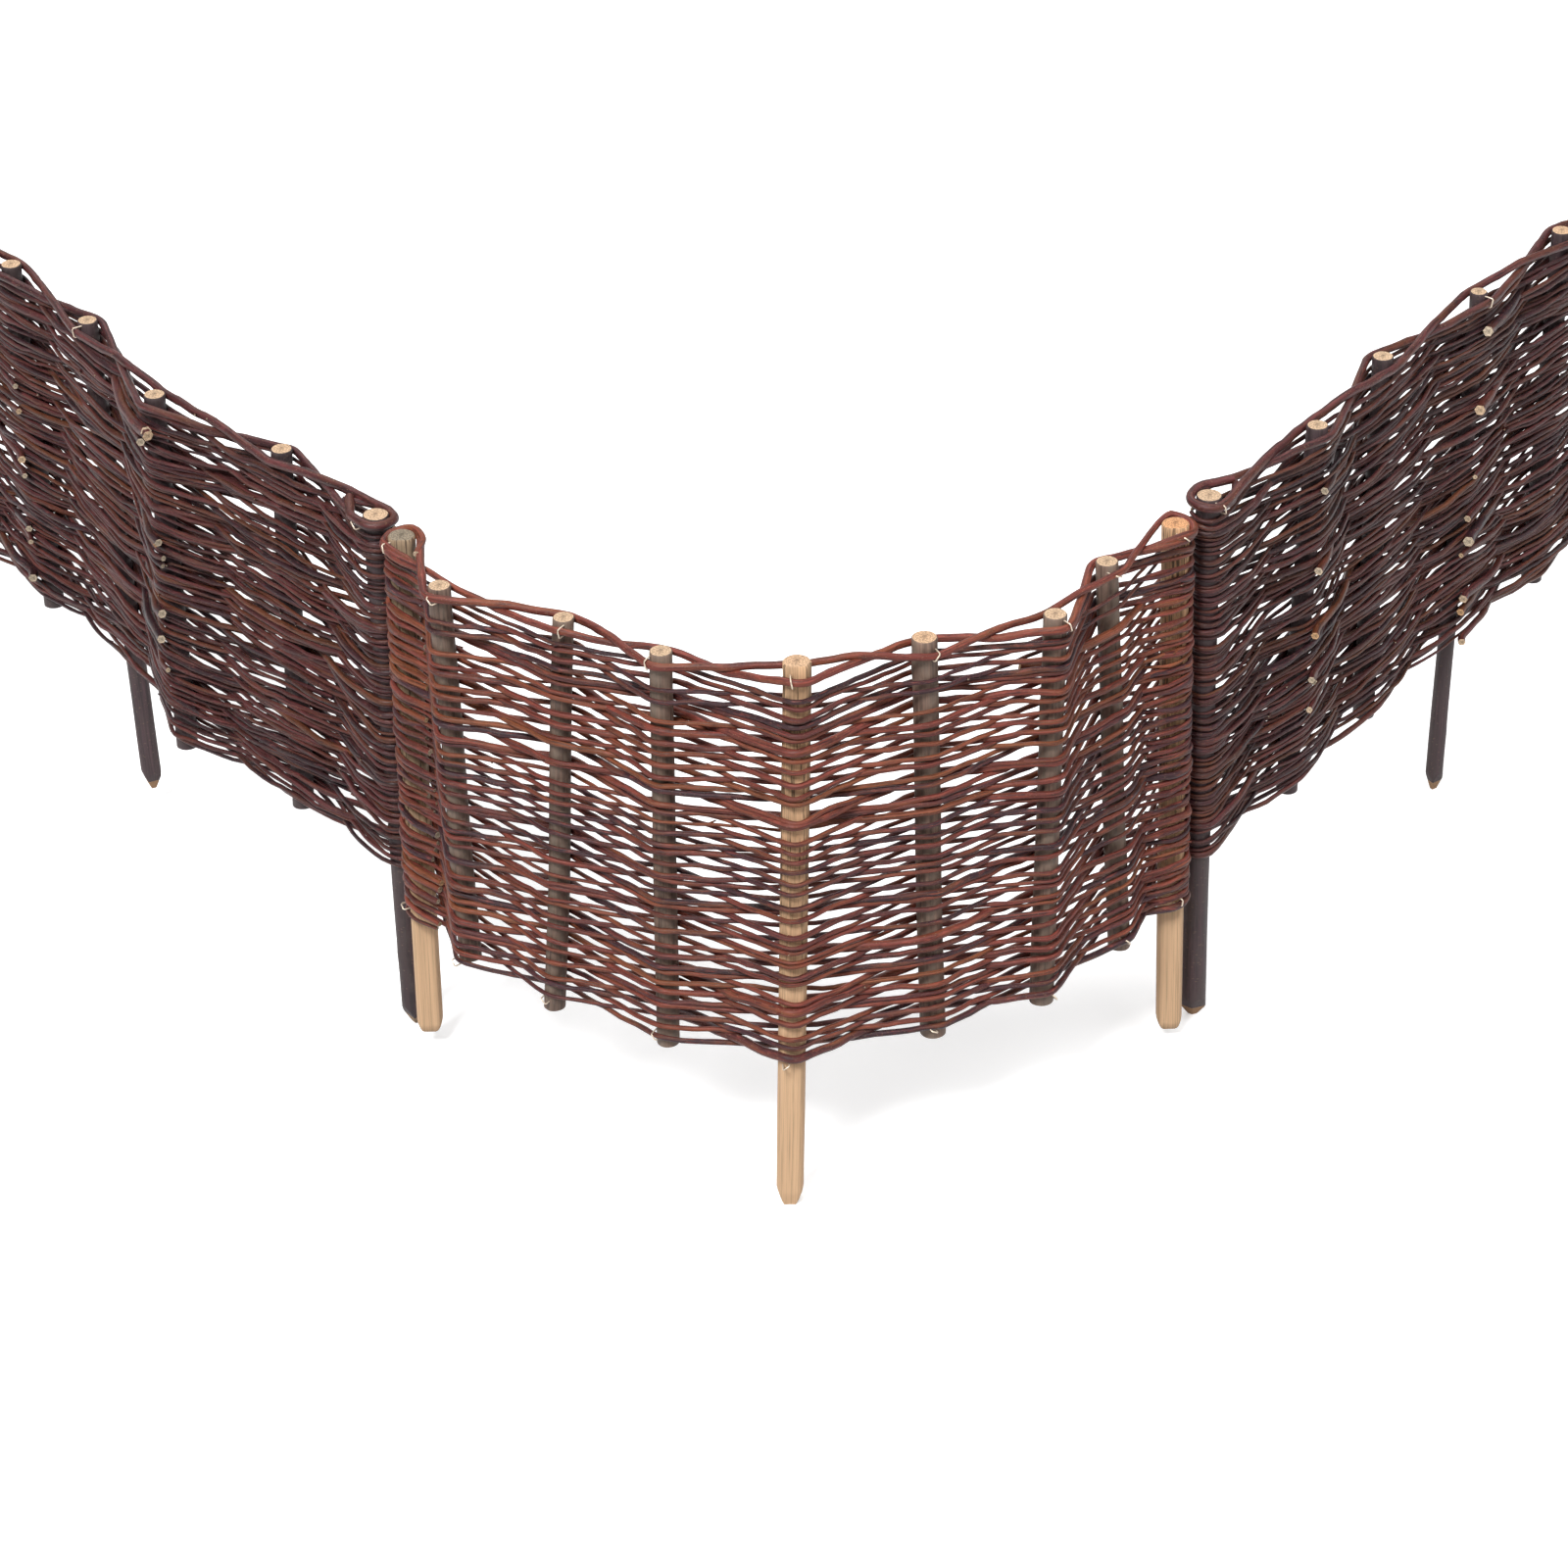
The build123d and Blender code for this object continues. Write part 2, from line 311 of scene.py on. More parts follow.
class Growth:
    """Collects tubes and stakes, and turns them into one mesh piece."""

    def __init__(self):
        self.verts, self.faces, self.uvs, self.tones = [], [], [], []
        self.kinds, self.smooth = [], []
        self.count = 0

    def rings(self, rings, lengths, tone, capped=True, cut=None):
        """A skin of bark over closed rings; cut marks the faces that show cut wood."""
        rows, sides = rings.shape[:2]
        base = self.count
        tones = np.broadcast_to(tone, rows)
        self.verts.append(rings.reshape(-1, 3))
        self.tones.append(np.repeat(tones, sides))
        self.count += rows * sides
        around = np.linspace(0, 1, sides + 1)
        for i in range(rows - 1):
            a, b = base + i * sides, base + (i + 1) * sides
            for j in range(sides):
                beyond = (j + 1) % sides
                self.faces.append((a + j, a + beyond, b + beyond, b + j))
                u0, u1 = lengths[i], lengths[i + 1]
                v0, v1 = around[j], around[j + 1]
                self.uvs.extend([(u0, v0), (u0, v1), (u1, v1), (u1, v0)])
                self.kinds.append(CUT if cut is not None and cut[i][j] else BARK)
                self.smooth.append(True)
        if capped:
            self.cap(rings[0], float(tones[0]), True)
            self.cap(rings[-1], float(tones[-1]), False)

    def cap(self, ring, tone, flip, dome=0.0, steps=1, rough=0.0, rng=None):
        """Closes an end with cut wood; its texture place is measured from the middle."""
        sides = len(ring)
        centre = ring.mean(axis=0)
        axis = np.cross(ring[0] - centre, ring[sides // 4] - centre)
        axis /= max(np.linalg.norm(axis), TINY)
        if flip:
            axis = -axis
        loops = [ring]
        for s in range(1, steps + 1):
            share = 1 - s / (steps + 1)
            loop = centre + (ring - centre) * share + axis * dome * (1 - share ** 2)
            if rough and rng:
                heights = np.array([rng.uniform(-rough, rough) for _ in range(sides)])
                loop = loop + axis * heights[:, None]
            loops.append(loop)
        across = (ring[0] - centre) / max(np.linalg.norm(ring[0] - centre), TINY)
        upward = np.cross(axis, across)
        flats = [np.column_stack([(loop - centre) @ across, (loop - centre) @ upward]) for loop in loops]
        base = self.count
        self.verts.append(np.vstack(loops + [centre[None] + axis * dome]))
        total = sides * len(loops) + 1
        self.tones.append(np.full(total, tone))
        self.count += total
        hub = base + total - 1
        for s in range(len(loops)):
            a = base + s * sides
            for j in range(sides):
                beyond = (j + 1) % sides
                if s < len(loops) - 1:
                    face = [a + j, a + beyond, a + sides + beyond, a + sides + j]
                    flat = [flats[s][j], flats[s][beyond], flats[s + 1][beyond], flats[s + 1][j]]
                else:
                    face = [a + j, a + beyond, hub]
                    flat = [flats[s][j], flats[s][beyond], (0.0, 0.0)]
                if flip:
                    face, flat = face[::-1], flat[::-1]
                self.faces.append(tuple(face))
                self.uvs.extend([(place[0], place[1]) for place in flat])
                self.kinds.append(CUT)
                self.smooth.append(False)

    def tube(self, line, radii, lengths, tone, sides=8, start=0.0):
        """A rod along a line of ring centres."""
        ahead = np.gradient(line, axis=0)
        ahead /= np.linalg.norm(ahead, axis=1)[:, None]
        up = np.array([0, 0, 1.0])
        if abs(ahead[:, 2]).max() > 0.9:        # nearly upright: measured from another direction
            up = np.array([0.3, 0.9, 0.1])
        side = np.cross(ahead, up)
        side /= np.linalg.norm(side, axis=1)[:, None]
        top = np.cross(side, ahead)
        angles = np.linspace(0, 2 * math.pi, sides, endpoint=False)
        across = np.cos(angles)[None, :, None] * side[:, None, :]
        out = across + np.sin(angles)[None, :, None] * top[:, None, :]
        rings = line[:, None, :] + out * np.asarray(radii)[:, None, None]
        self.rings(rings[:, ::-1], lengths + start, tone)

    def piece(self, name, materials, slot, replaced):
        """Makes the object, rides it on the root body and hides the imported parts that it stands for."""
        mesh = bpy.data.meshes.new(name)
        verts = np.vstack(self.verts)
        mesh.from_pydata(verts.tolist(), [], self.faces)
        layer = mesh.uv_layers.new(name="along")
        layer.data.foreach_set("uv", np.array(self.uvs, np.float32).ravel())
        tone = mesh.attributes.new("tone", "FLOAT", "POINT")
        tone.data.foreach_set("value", np.concatenate(self.tones).astype(np.float32))
        mesh.polygons.foreach_set("material_index", self.kinds)
        mesh.polygons.foreach_set("use_smooth", self.smooth)
        for material in materials:
            mesh.materials.append(material)
        mesh.validate()
        mesh.update()
        piece = bpy.data.objects.new(name, mesh)
        bpy.context.scene.collection.objects.link(piece)
        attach(piece, "root")
        if replaced:
            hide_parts(*replaced)
        return piece


# Rods of one panel

class Wall(Panel):
    """The woven wall of a panel: rods that pass in front of one stake and behind the next."""

    def bunching(self, station, z, amount, size):
        """How far the rods are pushed up or down together at one place of the wall."""
        spot = Vector((station * (1.5 if self.name == "middle" else 0.9), z / size, SEEDS[self.name]))
        return amount * noise.noise(spot)

    def side_of(self, index, pattern):
        """Side of a stake on which a rod passes, 1 for the left of the walk or -1."""
        return 1 if (index + pattern) % 2 else -1

    def along(self, index, towards):
        """Angle from one stake to its neighbour."""
        return angle_to(self.centres[index], self.centres[towards])

    def route(self, pattern, share, first, last, radius, weave, rng, proud=0.0):
        """Points of a rod from one stake to another: straight runs between its bends at the stakes."""
        points = []
        wave = rng.uniform(0, 50)
        wander = weave.wander * (2.8 if rng.random() < weave.unruly else 1.0)
        level = mix(self.bottom + LOWEST_ROD, self.crest - HIGHEST_ROD, share)

        def height(station):
            stray = wander * 1.6 * noise.noise(Vector((wave, station * 0.8, 1.7)))
            edge = min(share, 1 - share) * 12
            sag = weave.sag * math.sin(math.pi * (station % 1.0)) * (1 if share < 0.5 else 0)
            push = self.bunching(station, level, weave.bunch, weave.bunch_size)
            return level + stray + min(edge, 1) * push - sag

        for index in range(first, last + 1):
            side = self.side_of(index, pattern)
            reach = radius + weave.soft * 0.08 + (proud if index == first else 0)
            spot = self.beside(index, side, reach, level)
            for shift in (-4.5 * MM, 4.5 * MM):
                x, y = step(spot, shift, self.ahead(index))
                points.append((x, y, height(index)))
            if index == last:
                break
            after = self.beside(index + 1, -side, reach, level)
            cross = 0.5 + rng.uniform(-1, 1) * weave.stagger
            here, there = self.centre(index, level), self.centre(index + 1, level)
            for t in (0.3, 0.5, 0.7):
                # a side rod hugs its own side, then crosses over; a middle one runs straight across
                carry = min(max(0.5 + (t - cross) / weave.crossing, 0), 1)
                lean = mix(t, carry, 0.8 if weave.crossing < 0.99 else 0.0)
                x = mix(here[0], there[0], t) + mix(spot[0] - here[0], after[0] - there[0], lean)
                y = mix(here[1], there[1], t) + mix(spot[1] - here[1], after[1] - there[1], lean)
                points.append((x, y, height(index + t)))
        return points

    def wrap(self, end, side, radius, z, rng, tail):
        """Points round an end stake from one side to the other, and back into the bay as a tail."""
        centre = self.centre(end, z)
        inward = self.along(end, 1 if end == 0 else self.last - 1)
        hand = side if end == 0 else -side
        reach = self.radii[end] + radius + 0.2 * MM
        drift = rng.uniform(-0.8, 0.8) * MM - side * (5.5 if self.name == "middle" else 2.0) * MM
        points = []
        for k, share in enumerate((0.66, 0.83, 1.0, 1.17, 1.34, 1.5)):      # shares of a half turn
            x, y = step(centre, reach * (1.05 if k < 5 else 1.02), inward + hand * math.pi * share)
            points.append((x, y, z + drift * (k - 2) / 3))
        if not tail:
            return points[:5]
        length = rng.uniform(38, 62) * MM
        for run, off in ((length * 0.4, reach - 1.0 * MM), (length, reach * rng.uniform(-0.2, 0.25))):
            x, y = step(step(centre, run, inward), off, inward - hand * math.pi / 2)
            points.append((x, y, z + drift * 0.8 + rng.uniform(-0.6, 0.6) * MM))
        return points

    def butt(self, index, pattern, reach, z, rng):
        """The point where a thick end stands out past the stake that holds it."""
        side = self.side_of(index, pattern)
        spot = self.beside(index, side, reach, z)
        spot = step(spot, rng.uniform(7 * MM, 20 * MM), self.along(index, index - 1))
        x, y = step(spot, rng.uniform(3, 8) * MM, self.facing(index, side))
        return (x, y, z + rng.uniform(-1, 4) * MM)


class Weave:
    """How the rods of one wall are laid."""

    def __init__(self, sizes, middle):
        self.rows = sizes.rows_middle if middle else sizes.rows_side
        self.layers = 1 if middle else 2                # rods to a row
        self.paired = 0.17                              # share of rows that keep the last row's side
        self.sides, self.spacing, self.bend = (8, 11 * MM, 0.3) if middle else (6, 14 * MM, 0.34)
        self.thick = sizes.butt_radius if middle else sizes.side_butt_radius
        self.thin = sizes.tip_radius if middle else sizes.side_tip_radius
        self.thick_spread = (0.75, 1.25 if middle else 1.4)
        self.thin_spread = (0.8, 1.35)
        self.wander = sizes.wander if middle else sizes.wander * 1.3
        self.unruly = 0.1 if middle else 0.25           # share of rods that stray almost three times as far
        self.soft = (4.2 if middle else 8.0) * MM       # reach of a soft bend
        self.bunch, self.bunch_size = (2.3 * MM, 13 * MM) if middle else (14.0 * MM, 40 * MM)
        self.sag = 1.0 * MM
        self.stagger, self.crossing = (0.06, 1.0) if middle else (0.18, 0.6)


def crooked(line, run, amount, rng):
    """Small kinks, as a grown rod has."""
    wave = rng.uniform(0, 90)
    ease = np.clip(np.minimum(run, run[-1] - run) / (20 * MM), 0, 1)
    drift = []
    for place in run:
        sideways = noise.noise(Vector((wave, place * 34, 3)))
        drift.append([0.0, sideways, noise.noise(Vector((wave, place * 40, 8)))])
    return line + np.array(drift) * ease[:, None] * amount


def tapered(lengths, thick, thin, rng):
    """Radius at each ring: an even taper with small swellings at the buds."""
    radii = thick + (thin - thick) * lengths / lengths[-1]
    bud = rng.uniform(0.01, 0.05)
    while bud < lengths[-1]:
        radii = radii + 0.4 * MM * np.exp(-((lengths - bud) / (3 * MM)) ** 2)
        bud += rng.uniform(0.035, 0.08)
    return radii


def held_tone(tone):
    """A rod's tone, kept off the ends of the bark's colours."""
    return min(max(tone, 0.02), 0.98)


def lay_rod(growth, wall, weave, rng, pattern, share, span, thick, thin, tone):
    """Lays one rod from its first stake to its last, and returns the tone it got."""
    first, last, proud = span
    mean = (thick + thin) / 2
    start, end = (thick, thin) if rng.random() < 0.5 else (thin, thick)
    route = wall.route(pattern, share, first, last, mean, weave, rng, proud)
    outer = wall.side_of(0, pattern) == wall.outside
    turned = weave.layers == 1 or outer         # of two rods to a row, one turns back at the ends
    if first > 0:
        route = [wall.butt(first, pattern, mean + proud, route[0][2], rng)] + route
        start, end = thick * rng.uniform(1.2, 1.9), thin
    elif turned:
        back = wall.wrap(0, wall.side_of(0, pattern), mean, route[0][2], rng, not outer)
        route = back[::-1] + route[1:]
    if last < wall.last:                        # the thin end stops just past the stake
        x, y, z = route[-1]
        x, y = step((x, y), rng.uniform(4, 14) * MM, wall.along(last, last + 1))
        route = route + [(x, y, z)]
        start, end = thick * 0.9, thin * 0.8
        tone = held_tone(tone + rng.uniform(-0.3, 0.3))
    elif turned:
        side = wall.side_of(last, pattern)
        route = route[:-1] + wall.wrap(last, side, mean, route[-1][2], rng, side != wall.outside)
    line, run = smooth_line(route, weave.spacing, weave.soft, weave.bend)
    line = crooked(line, run, 2.0 * MM, rng)
    radii = tapered(run, start, end, rng)
    growth.tube(line, radii, run, tone, sides=weave.sides, start=rng.uniform(0, 9))
    snags(growth, line, run, tone, rng)
    return tone


def lay_wall(growth, wall, weave, butts, seed):
    """Lays every rod of a wall into the growth."""
    rng = random.Random(seed)
    pattern = 0
    for row in range(weave.rows):
        if weave.layers == 2 or rng.random() > weave.paired:
            pattern += 1            # rows swap sides one by one, with a pair now and then
        for layer in range(weave.layers):
            share = (row + 0.5 + 0.5 * layer * rng.uniform(0.5, 1.3)) / (weave.rows + 0.5)
            if weave.layers == 2:
                pattern = layer     # two rods to a row, one on each side of every stake
            thick = weave.thick * rng.uniform(*weave.thick_spread)
            thin = weave.thin * rng.uniform(*weave.thin_spread)
            tone = held_tone(rng.gauss(0.48, 0.28))
            spans = [(0, wall.last, 0.0)]
            starts = [k for k in butts if wall.side_of(k, pattern) == wall.outside * butts[k][1]]
            rng.shuffle(starts)
            if starts and rng.random() < butts[starts[0]][0]:
                spans = [(0, starts[0], 0.0), (starts[0], wall.last, thick + thin)]
            for span in spans:
                tone = lay_rod(growth, wall, weave, rng, pattern, share, span, thick, thin, tone)


def snags(growth, line, run, tone, rng):
    """Short stubs where side twigs were cut off a rod."""
    for _ in range(rng.choice((0, 0, 1, 1, 2))):
        i = rng.randrange(3, len(line) - 3)
        ahead = line[i + 1] - line[i]
        ahead /= np.linalg.norm(ahead)
        out = np.array([-ahead[1], ahead[0], 0]) * rng.choice((-1, 1))
        out = out + np.array([0, 0, rng.uniform(-0.3, 0.5)])
        out /= np.linalg.norm(out)
        lean = ahead * rng.choice((-1, 1)) * rng.uniform(1.0, 2.2) + out
        lean /= np.linalg.norm(lean)
        length = rng.uniform(5, 11) * MM
        stub = np.array([line[i] + lean * length * t for t in (0.1, 0.5, 1.0)])
        radii = [1.4 * MM, 1.2 * MM, rng.uniform(0.6, 1.0) * MM]
        growth.tube(stub, radii, np.array([0, length / 2, length]), tone, sides=5, start=run[i])


def top_rod(growth, wall, sizes, layer, seed):
    """One of the two thick rods that close the weave; both climb to the tops of the end stakes."""
    rng = random.Random(seed + layer)
    middle = wall.name == "middle"
    radius = sizes.top_rod_radius if middle else sizes.side_top_rod_radius
    pattern = layer + (0 if middle else 1)
    route = []
    for index in range(wall.last + 1):
        level = wall.crest_at(index) + rng.uniform(-1.5, 1) * MM
        if index in (0, wall.last):
            level += 3 * MM
        spot = wall.beside(index, wall.side_of(index, pattern), radius + 0.1 * MM, level)
        for shift in (-5 * MM, 5 * MM):
            route.append((*step(spot, shift, wall.ahead(index)), level))
        if index < wall.last:       # where the two cross, one lies on the other
            (ax, ay), (bx, by) = wall.centre(index, level), wall.centre(index + 1, level)
            route.append(((ax + bx) / 2, (ay + by) / 2, level + (radius if layer else -radius) * 0.95))
    first = wall.wrap(0, wall.side_of(0, pattern), radius, route[0][2], rng, True)[::-1]
    last = wall.wrap(wall.last, wall.side_of(wall.last, pattern), radius, route[-1][2], rng, layer == 1)
    line, run = smooth_line(first + route[1:-1] + last, 8 * MM)
    line = crooked(line, run, 1.6 * MM, rng)
    ends = (radius * 1.08, radius * 0.8)
    radii = tapered(run, *(ends if layer else ends[::-1]), rng)
    growth.tube(line, radii, run, rng.uniform(0.35, 0.6), sides=14, start=rng.uniform(0, 9))
    snags(growth, line, run, 0.4, rng)


# Stakes

def sawn(growth, ring, tone, flip, rng, dome=0.5 * MM):
    """A sawn end: a small broken edge and a flat of rough end grain."""
    growth.cap(ring, tone, flip, dome=dome, steps=3, rough=0.3 * MM, rng=rng)


def round_stake(growth, node, tone, rng, point=0.0):
    """A round stake with bark, a sawn top, and where it is driven a point hewn on four faces."""
    low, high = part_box(node)
    radius = (high.x - low.x) / 2
    middle_x, middle_y = (low.x + high.x) / 2, high.y - radius
    low.z, high.z = low.z + FEET.get(node, 0) * MM, top_of(node)
    radius *= GIRTHS.get(node, 1.0)
    sides = 32
    heights = list(np.arange(low.z + point, high.z - 3 * MM, 12 * MM)) + [high.z - 1.2 * MM, high.z]
    if point:
        heights = list(np.linspace(low.z, low.z + point, 12)[:-1]) + heights
    seed = rng.uniform(0, 90)
    around = np.linspace(0, 2 * math.pi, sides, endpoint=False)
    facets = [rng.uniform(0, 1) + k * math.pi / 2 for k in range(4)]
    knots = [(rng.uniform(low.z + 0.05, high.z - 0.03), rng.uniform(0, 2 * math.pi)) for _ in range(3)]
    rings, cut = [], []
    for z in heights:
        share = (z - low.z) / (high.z - low.z)
        even = radius * (0.985 - 0.03 * share)
        swell = [noise.noise(Vector((seed, 1.4 * math.cos(a), 1.4 * math.sin(a) + z * 7))) for a in around]
        shape = np.array([even * (1 + 0.04 * s) for s in swell])
        for place, angle in knots:
            off = np.arctan2(np.sin(around - angle), np.cos(around - angle))
            shape += 1.1 * MM * math.exp(-((z - place) / (7 * MM)) ** 2) * np.exp(-(off / 0.5) ** 2)
        if z == high.z:             # the broken edge of the sawn top
            shape = shape - 0.9 * MM
        marks = np.zeros(sides, bool)
        if point and z < low.z + point * 1.2:
            deep = mix(2.6 * MM, radius * 1.02, (z - low.z) / point)
            for facet in facets:
                away = np.cos(around - facet)
                plane = np.where(away > 0.25, deep / np.maximum(away, 0.25), 1.0)
                marks |= (plane < shape) & (z < low.z + point * 0.45)
                shape = np.minimum(shape, plane)
        loose = 0 if share > 0.97 else 1
        x = middle_x + lean_at(node, z) + loose * 1.4 * MM * noise.noise(Vector((seed + 7, z * 5, 0)))
        y = middle_y + loose * 1.2 * MM * noise.noise(Vector((seed + 3, z * 5, 2)))
        xs, ys = x + shape * np.cos(around), y + shape * np.sin(around)
        rings.append(np.column_stack([xs, ys, np.full(sides, z)]))
        cut.append(marks)
    rings = np.array(rings)
    growth.rings(rings, np.array(heights) + rng.uniform(0, 5), tone, False, np.array(cut))
    sawn(growth, rings[-1], rng.uniform(0.3, 0.62), False, rng)
    sawn(growth, rings[0], 0.5, True, rng, 0.2 * MM)


def split_stake(growth, node, tones, rng, rounded):
    """A stake cleft from a log: one flat face to the front, a blunt foot sawn narrower.

    tones are those of the foot, of the top and of the sawn end.
    """
    taper, foot = 17 * MM, 11 * MM          # the foot narrows over this height to this width
    low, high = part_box(node)
    radius = (high.x - low.x) / 2
    middle_x, middle_y = (low.x + high.x) / 2, high.y - radius
    face = low.y - middle_y                 # the cleft face lies this far in front of the middle
    low.z, high.z = low.z + FEET.get(node, 0) * MM, top_of(node)
    sides = 40
    around = np.linspace(0, 2 * math.pi, sides, endpoint=False) + math.pi / sides
    heights = list(np.linspace(low.z, low.z + taper, 9))
    heights += list(np.arange(low.z + taper + 10 * MM, high.z - 3 * MM, 10 * MM))
    heights += [high.z - 1.3 * MM, high.z]
    seed = rng.uniform(0, 90)
    rings = []
    for z in heights:
        xs, ys = radius * np.cos(around), np.maximum(radius * np.sin(around), face)
        grain = [noise.noise(Vector((seed, 7 * math.cos(a), 7 * math.sin(a) + z * 2))) for a in around]
        waist = 1 + 0.02 * noise.noise(Vector((seed, z * 9, 1)))
        grow = (1 + 0.035 * np.array(grain)) * waist * 0.985 - (1.0 * MM / radius if z == high.z else 0)
        xs, ys = xs * grow, ys * grow
        if z < low.z + taper:
            share = (z - low.z) / taper
            share = math.sin(share * math.pi / 2) ** 0.7 if rounded else share
            half = mix(foot / 2, radius, share)
            xs = np.clip(xs, -half, half)
            ys = ys * mix(0.7 if rounded else 0.85, 1, min(share * 1.3, 1))
        rings.append(np.column_stack([middle_x + lean_at(node, z) + xs, middle_y + ys, np.full(sides, z)]))
    rings = np.array(rings)
    shares = (np.array(heights) - low.z) / (high.z - low.z)
    tone = np.interp(shares, (0, 0.3, 0.6, 1), (tones[0], tones[0], tones[1], tones[1]))
    growth.rings(rings, np.array(heights) + rng.uniform(0, 5), tone, False)
    sawn(growth, rings[-1], tones[2], False, rng, 0.9 * MM)
    sawn(growth, rings[0], tones[0], True, rng, 0.3 * MM)


# Staples

def staple(growth, centre, out, span, depth, tilt, radius):
    """A bent wire over a rod: a crown that stands nearly upright and two legs driven in behind it."""
    side = np.array([-math.sin(out), math.cos(out), 0.0])
    out = np.array([math.cos(out), math.sin(out), 0.0])
    centre = np.array(centre, float)
    up = (np.array([0, 0, math.cos(tilt)]) + side * math.sin(tilt)) * span / 2
    line = np.array([centre - up - out * depth, centre - up - out * 1.2 * MM, centre - up * 0.75,
                     centre + up * 0.75, centre + up - out * 1.2 * MM, centre + up - out * depth])
    run = np.concatenate([[0], np.cumsum(np.linalg.norm(np.diff(line, axis=0), axis=1))])
    growth.tube(line, [radius] * len(line), run, 0.5, sides=6)


# Materials

class Nodes:
    """Lays out the nodes of one material."""

    def __init__(self, name):
        self.material = bpy.data.materials.new(name)
        self.material.use_nodes = True
        self.tree = self.material.node_tree
        self.tree.nodes.clear()
        self.shader = self.add("ShaderNodeBsdfPrincipled")
        out = self.add("ShaderNodeOutputMaterial")
        self.link(self.shader.outputs["BSDF"], out.inputs["Surface"])

    def add(self, kind, **settings):
        """A node of one kind, with its inputs or its own settings filled in."""
        node = self.tree.nodes.new(kind)
        for key, value in settings.items():
            if key in node.inputs:
                node.inputs[key].default_value = value
            else:
                setattr(node, key, value)
        return node

    def link(self, a, b):
        self.tree.links.new(a, b)

    def feed(self, socket, value):
        """Links an output to an input, or sets the input to a plain value."""
        if isinstance(value, bpy.types.NodeSocket):
            self.link(value, socket)
        else:
            socket.default_value = value

    def maths(self, operation, a, b=0.5):
        """One step of arithmetic with two outputs or numbers."""
        node = self.add("ShaderNodeMath")
        node.operation = operation
        self.feed(node.inputs[0], a)
        self.feed(node.inputs[1], b)
        return node.outputs[0]

    def along(self, stretch, turns):
        """Place on a rod: metres along it, and once round it without a seam."""
        uv = self.add("ShaderNodeUVMap", uv_map="along")
        split = self.add("ShaderNodeSeparateXYZ")
        self.link(uv.outputs[0], split.inputs[0])
        angle = self.maths("MULTIPLY", split.outputs[1], 2 * math.pi)
        spot = self.add("ShaderNodeCombineXYZ")
        self.link(self.maths("MULTIPLY", split.outputs[0], stretch), spot.inputs[0])
        self.link(self.maths("MULTIPLY", self.maths("COSINE", angle), turns), spot.inputs[1])
        self.link(self.maths("MULTIPLY", self.maths("SINE", angle), turns), spot.inputs[2])
        return spot.outputs[0]

    def noise(self, where, scale, detail=3.0, rough=0.55):
        """Cloudy noise at a place."""
        node = self.add("ShaderNodeTexNoise", Scale=scale, Detail=detail, Roughness=rough)
        self.link(where, node.inputs["Vector"])
        return node.outputs["Fac"]

    def grain(self, stretch, turns, detail=3.0, rough=0.55):
        """Noise on a rod, drawn out along it."""
        return self.noise(self.along(stretch, turns), 1.0, detail, rough)

    def specks(self, stretch, turns, core, edge):
        """Small spots on a rod: 1 within the core, 0 past the edge."""
        cells = self.add("ShaderNodeTexVoronoi", Scale=1.0, Randomness=1.0)
        self.link(self.along(stretch, turns), cells.inputs["Vector"])
        return self.ramp(cells.outputs["Distance"], [(core, 1.0), (edge, 0.0)])

    def ramp(self, value, stops):
        """Colours, or plain numbers, by the size of a value."""
        node = self.add("ShaderNodeValToRGB")
        self.link(value, node.inputs[0])
        ramp = node.color_ramp
        while len(ramp.elements) < len(stops):
            ramp.elements.new(0.5)
        for element, (place, colour) in zip(ramp.elements, stops):
            element.position = place
            element.color = (colour, colour, colour, 1) if isinstance(colour, (int, float)) else colour
        return node.outputs[0]

    def blend(self, share, a, b, kind="MIX"):
        """Two colours blended by a share."""
        node = self.add("ShaderNodeMix", data_type="RGBA", blend_type=kind)
        for socket, value in ((node.inputs[0], share), (node.inputs[6], a), (node.inputs[7], b)):
            self.feed(socket, value)
        return node.outputs[2]

    def shade(self, colour, factor):
        """A colour made darker or lighter by a factor."""
        return self.blend(1.0, colour, factor, "MULTIPLY")

    def bump(self, height, strength, distance):
        node = self.add("ShaderNodeBump", Strength=strength, Distance=distance)
        self.link(height, node.inputs["Height"])
        self.link(node.outputs[0], self.shader.inputs["Normal"])

    def tone(self):
        """The tone stored in the mesh, between 0 and 1."""
        return self.add("ShaderNodeAttribute", attribute_name="tone").outputs["Fac"]


def rgba(colour, factor=1.0):
    """An opaque colour, made darker or lighter by a factor."""
    return (colour[0] * factor, colour[1] * factor, colour[2] * factor, 1.0)


